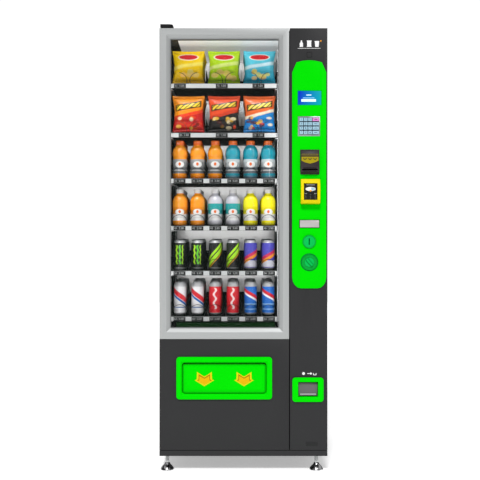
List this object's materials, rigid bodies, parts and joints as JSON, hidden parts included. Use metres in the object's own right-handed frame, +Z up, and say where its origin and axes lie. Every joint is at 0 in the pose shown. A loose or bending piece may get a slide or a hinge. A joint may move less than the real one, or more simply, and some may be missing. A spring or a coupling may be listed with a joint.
{
  "type": "snack vending machine",
  "caption": "Glass-front snack and drink vending machine with spiral trays, a selection column and a delivery flap.",
  "frame": {"origin": "on the floor, at the middle of the machine's width and of its overall depth", "axes": "+Z up, the longest extent; -Y out of the machine's front; +X to the right as seen from the front"},
  "size_m": [0.735, 0.78, 1.958],
  "materials": {
    "charcoal_paint": "satin",
    "black_paint": "matte",
    "silver_frame": "satin",
    "green_plastic": "satin",
    "deep_green_plastic": "gloss",
    "zinc_steel": "satin",
    "cooling_metal": "satin",
    "chrome_foot": "polished",
    "door_seal_rubber": "matte",
    "clear_glass": "polished",
    "screen": "gloss",
    "yellow_plastic": "satin",
    "grey_plastic": "matte",
    "keypad_plate": "satin",
    "key_plastic": "satin",
    "clear_key_plastic": "satin",
    "coil_wire": "gloss",
    "snack_film": "gloss"
  },
  "bodies": {
    "cabinet": {"cabinet_shell": "charcoal_paint", "rear_air_panel": "charcoal_paint", "plinth": "charcoal_paint", "delivery_bin": "black_paint", "cooling_unit": "cooling_metal", "top_hinge_bracket": "black_paint", "tray_rails_left": "zinc_steel", "tray_rails_right": "zinc_steel"},
    "main_door": {"door_frame": "silver_frame", "door_glass": "clear_glass", "door_shell": "charcoal_paint", "door_gasket": "door_seal_rubber", "delivery_bezel": "green_plastic"},
    "delivery_flap": {"delivery_flap": "green_plastic"},
    "column_door": {"column_panel": "charcoal_paint", "column_fascia": "green_plastic", "display": "screen", "keypad_body": "keypad_plate", "bill_acceptor": "grey_plastic", "card_reader": "yellow_plastic", "coin_slot_disc": "deep_green_plastic", "coin_cup": "green_plastic"},
    "coin_return_bar": {"coin_return_bar": "keypad_plate"},
    "lock_handle": {"lock_handle": "deep_green_plastic"},
    "coin_cup_flap": {"coin_cup_flap": "grey_plastic"},
    "foot_front_left": {"foot_front_left": "chrome_foot"},
    "foot_front_right": {"foot_front_right": "chrome_foot"},
    "foot_rear_left": {"foot_rear_left": "chrome_foot"},
    "foot_rear_right": {"foot_rear_right": "chrome_foot"},
    "tray_1": {"tray_1": "black_paint"},
    "tray_2": {"tray_2": "black_paint"},
    "tray_3": {"tray_3": "black_paint"},
    "tray_4": {"tray_4": "black_paint"},
    "tray_5": {"tray_5": "black_paint"},
    "tray_6": {"tray_6": "black_paint"},
    "coil_1": {"coil_1": "coil_wire"},
    "coil_2": {"coil_2": "coil_wire"},
    "coil_3": {"coil_3": "coil_wire"},
    "coil_4": {"coil_4": "coil_wire"},
    "coil_5": {"coil_5": "coil_wire"},
    "coil_6": {"coil_6": "coil_wire"},
    "snack_bag_1": {"snack_bag_1": "snack_film"},
    "snack_bag_2": {"snack_bag_2": "snack_film"},
    "snack_bag_3": {"snack_bag_3": "snack_film"},
    "key_1_1": {"key_1_1": "key_plastic"},
    "key_1_2": {"key_1_2": "key_plastic"},
    "key_1_3": {"key_1_3": "key_plastic"},
    "key_1_4": {"key_1_4": "clear_key_plastic"},
    "key_2_1": {"key_2_1": "key_plastic"},
    "key_2_2": {"key_2_2": "key_plastic"},
    "key_2_3": {"key_2_3": "key_plastic"},
    "key_2_4": {"key_2_4": "key_plastic"},
    "key_3_1": {"key_3_1": "key_plastic"},
    "key_3_2": {"key_3_2": "key_plastic"},
    "key_3_3": {"key_3_3": "key_plastic"},
    "key_3_4": {"key_3_4": "key_plastic"},
    "key_4_1": {"key_4_1": "key_plastic"},
    "key_4_2": {"key_4_2": "key_plastic"},
    "key_4_3": {"key_4_3": "key_plastic"},
    "key_4_4": {"key_4_4": "key_plastic"}
  },
  "joints": [
    {"name": "main_door_hinge", "type": "hinge", "parent": "cabinet", "child": "main_door", "pos_m": [-0.355, -0.33, 1], "axis": [0, 0, -1], "range_deg": [0, 110]},
    {"name": "delivery_flap_hinge", "type": "hinge", "parent": "main_door", "child": "delivery_flap", "pos_m": [-0.084, -0.33, 0.465], "axis": [1, 0, 0], "range_deg": [0, 65]},
    {"name": "column_door_hinge", "type": "hinge", "parent": "cabinet", "child": "column_door", "pos_m": [0.355, -0.315, 1], "axis": [0, 0, 1], "range_deg": [0, 100]},
    {"name": "coin_return_push", "type": "slide", "parent": "column_door", "child": "coin_return_bar", "axis": [0, 1, 0], "range_m": [0, 0.004], "stiffness_N_per_m": 600},
    {"name": "lock_turn", "type": "hinge", "parent": "column_door", "child": "lock_handle", "pos_m": [0.288, -0.345, 0.916], "axis": [0, 1, 0], "range_deg": [0, 90]},
    {"name": "coin_cup_flap_hinge", "type": "hinge", "parent": "column_door", "child": "coin_cup_flap", "pos_m": [0.2825, -0.335, 0.385], "axis": [1, 0, 0], "range_deg": [0, 60]},
    {"name": "foot_front_left_screw", "type": "hinge", "parent": "cabinet", "child": "foot_front_left", "pos_m": [-0.336, -0.3, 0.05], "axis": [0, 0, 1], "continuous": true},
    {"name": "foot_front_right_screw", "type": "hinge", "parent": "cabinet", "child": "foot_front_right", "pos_m": [0.322, -0.3, 0.05], "axis": [0, 0, 1], "continuous": true},
    {"name": "foot_rear_left_screw", "type": "hinge", "parent": "cabinet", "child": "foot_rear_left", "pos_m": [-0.336, 0.345, 0.05], "axis": [0, 0, 1], "continuous": true},
    {"name": "foot_rear_right_screw", "type": "hinge", "parent": "cabinet", "child": "foot_rear_right", "pos_m": [0.322, 0.345, 0.05], "axis": [0, 0, 1], "continuous": true},
    {"name": "tray_1_slide", "type": "slide", "parent": "cabinet", "child": "tray_1", "axis": [0, -1, 0], "range_m": [0, 0.04]},
    {"name": "tray_2_slide", "type": "slide", "parent": "cabinet", "child": "tray_2", "axis": [0, -1, 0], "range_m": [0, 0.04]},
    {"name": "tray_3_slide", "type": "slide", "parent": "cabinet", "child": "tray_3", "axis": [0, -1, 0], "range_m": [0, 0.04]},
    {"name": "tray_4_slide", "type": "slide", "parent": "cabinet", "child": "tray_4", "axis": [0, -1, 0], "range_m": [0, 0.04]},
    {"name": "tray_5_slide", "type": "slide", "parent": "cabinet", "child": "tray_5", "axis": [0, -1, 0], "range_m": [0, 0.04]},
    {"name": "tray_6_slide", "type": "slide", "parent": "cabinet", "child": "tray_6", "axis": [0, -1, 0], "range_m": [0, 0.04]},
    {"name": "coil_1_turn", "type": "hinge", "parent": "tray_1", "child": "coil_1", "pos_m": [-0.2905, -0.145, 1.7355], "axis": [0, 1, 0], "range_deg": [0, 360]},
    {"name": "coil_2_turn", "type": "hinge", "parent": "tray_1", "child": "coil_2", "pos_m": [-0.2095, -0.145, 1.7355], "axis": [0, 1, 0], "range_deg": [-360, 0]},
    {"name": "coil_3_turn", "type": "hinge", "parent": "tray_1", "child": "coil_3", "pos_m": [-0.1285, -0.145, 1.7355], "axis": [0, 1, 0], "range_deg": [0, 360]},
    {"name": "coil_4_turn", "type": "hinge", "parent": "tray_1", "child": "coil_4", "pos_m": [-0.0475, -0.145, 1.7355], "axis": [0, 1, 0], "range_deg": [-360, 0]},
    {"name": "coil_5_turn", "type": "hinge", "parent": "tray_1", "child": "coil_5", "pos_m": [0.0335, -0.145, 1.7355], "axis": [0, 1, 0], "range_deg": [0, 360]},
    {"name": "coil_6_turn", "type": "hinge", "parent": "tray_1", "child": "coil_6", "pos_m": [0.1145, -0.145, 1.7355], "axis": [0, 1, 0], "range_deg": [-360, 0]},
    {"name": "snack_bag_1_advance", "type": "slide", "parent": "tray_1", "child": "snack_bag_1", "axis": [0, -1, 0], "range_m": [0, 0.07]},
    {"name": "snack_bag_2_advance", "type": "slide", "parent": "tray_1", "child": "snack_bag_2", "axis": [0, -1, 0], "range_m": [0, 0.07]},
    {"name": "snack_bag_3_advance", "type": "slide", "parent": "tray_1", "child": "snack_bag_3", "axis": [0, -1, 0], "range_m": [0, 0.07]},
    {"name": "key_1_1_press", "type": "slide", "parent": "column_door", "child": "key_1_1", "axis": [0, 1, 0], "range_m": [0, 0.0018], "stiffness_N_per_m": 300},
    {"name": "key_1_2_press", "type": "slide", "parent": "column_door", "child": "key_1_2", "axis": [0, 1, 0], "range_m": [0, 0.0018], "stiffness_N_per_m": 300},
    {"name": "key_1_3_press", "type": "slide", "parent": "column_door", "child": "key_1_3", "axis": [0, 1, 0], "range_m": [0, 0.0018], "stiffness_N_per_m": 300},
    {"name": "key_1_4_press", "type": "slide", "parent": "column_door", "child": "key_1_4", "axis": [0, 1, 0], "range_m": [0, 0.0018], "stiffness_N_per_m": 300},
    {"name": "key_2_1_press", "type": "slide", "parent": "column_door", "child": "key_2_1", "axis": [0, 1, 0], "range_m": [0, 0.0018], "stiffness_N_per_m": 300},
    {"name": "key_2_2_press", "type": "slide", "parent": "column_door", "child": "key_2_2", "axis": [0, 1, 0], "range_m": [0, 0.0018], "stiffness_N_per_m": 300},
    {"name": "key_2_3_press", "type": "slide", "parent": "column_door", "child": "key_2_3", "axis": [0, 1, 0], "range_m": [0, 0.0018], "stiffness_N_per_m": 300},
    {"name": "key_2_4_press", "type": "slide", "parent": "column_door", "child": "key_2_4", "axis": [0, 1, 0], "range_m": [0, 0.0018], "stiffness_N_per_m": 300},
    {"name": "key_3_1_press", "type": "slide", "parent": "column_door", "child": "key_3_1", "axis": [0, 1, 0], "range_m": [0, 0.0018], "stiffness_N_per_m": 300},
    {"name": "key_3_2_press", "type": "slide", "parent": "column_door", "child": "key_3_2", "axis": [0, 1, 0], "range_m": [0, 0.0018], "stiffness_N_per_m": 300},
    {"name": "key_3_3_press", "type": "slide", "parent": "column_door", "child": "key_3_3", "axis": [0, 1, 0], "range_m": [0, 0.0018], "stiffness_N_per_m": 300},
    {"name": "key_3_4_press", "type": "slide", "parent": "column_door", "child": "key_3_4", "axis": [0, 1, 0], "range_m": [0, 0.0018], "stiffness_N_per_m": 300},
    {"name": "key_4_1_press", "type": "slide", "parent": "column_door", "child": "key_4_1", "axis": [0, 1, 0], "range_m": [0, 0.0018], "stiffness_N_per_m": 300},
    {"name": "key_4_2_press", "type": "slide", "parent": "column_door", "child": "key_4_2", "axis": [0, 1, 0], "range_m": [0, 0.0018], "stiffness_N_per_m": 300},
    {"name": "key_4_3_press", "type": "slide", "parent": "column_door", "child": "key_4_3", "axis": [0, 1, 0], "range_m": [0, 0.0018], "stiffness_N_per_m": 300},
    {"name": "key_4_4_press", "type": "slide", "parent": "column_door", "child": "key_4_4", "axis": [0, 1, 0], "range_m": [0, 0.0018], "stiffness_N_per_m": 300}
  ],
  "couplings": [
    {"joint": "coil_2_turn", "follows": "coil_1_turn", "ratio": -1},
    {"joint": "snack_bag_1_advance", "follows": "coil_1_turn", "m_per_rad": 0.01114},
    {"joint": "coil_4_turn", "follows": "coil_3_turn", "ratio": -1},
    {"joint": "snack_bag_2_advance", "follows": "coil_3_turn", "m_per_rad": 0.01114},
    {"joint": "coil_6_turn", "follows": "coil_5_turn", "ratio": -1},
    {"joint": "snack_bag_3_advance", "follows": "coil_5_turn", "m_per_rad": 0.01114}
  ]
}
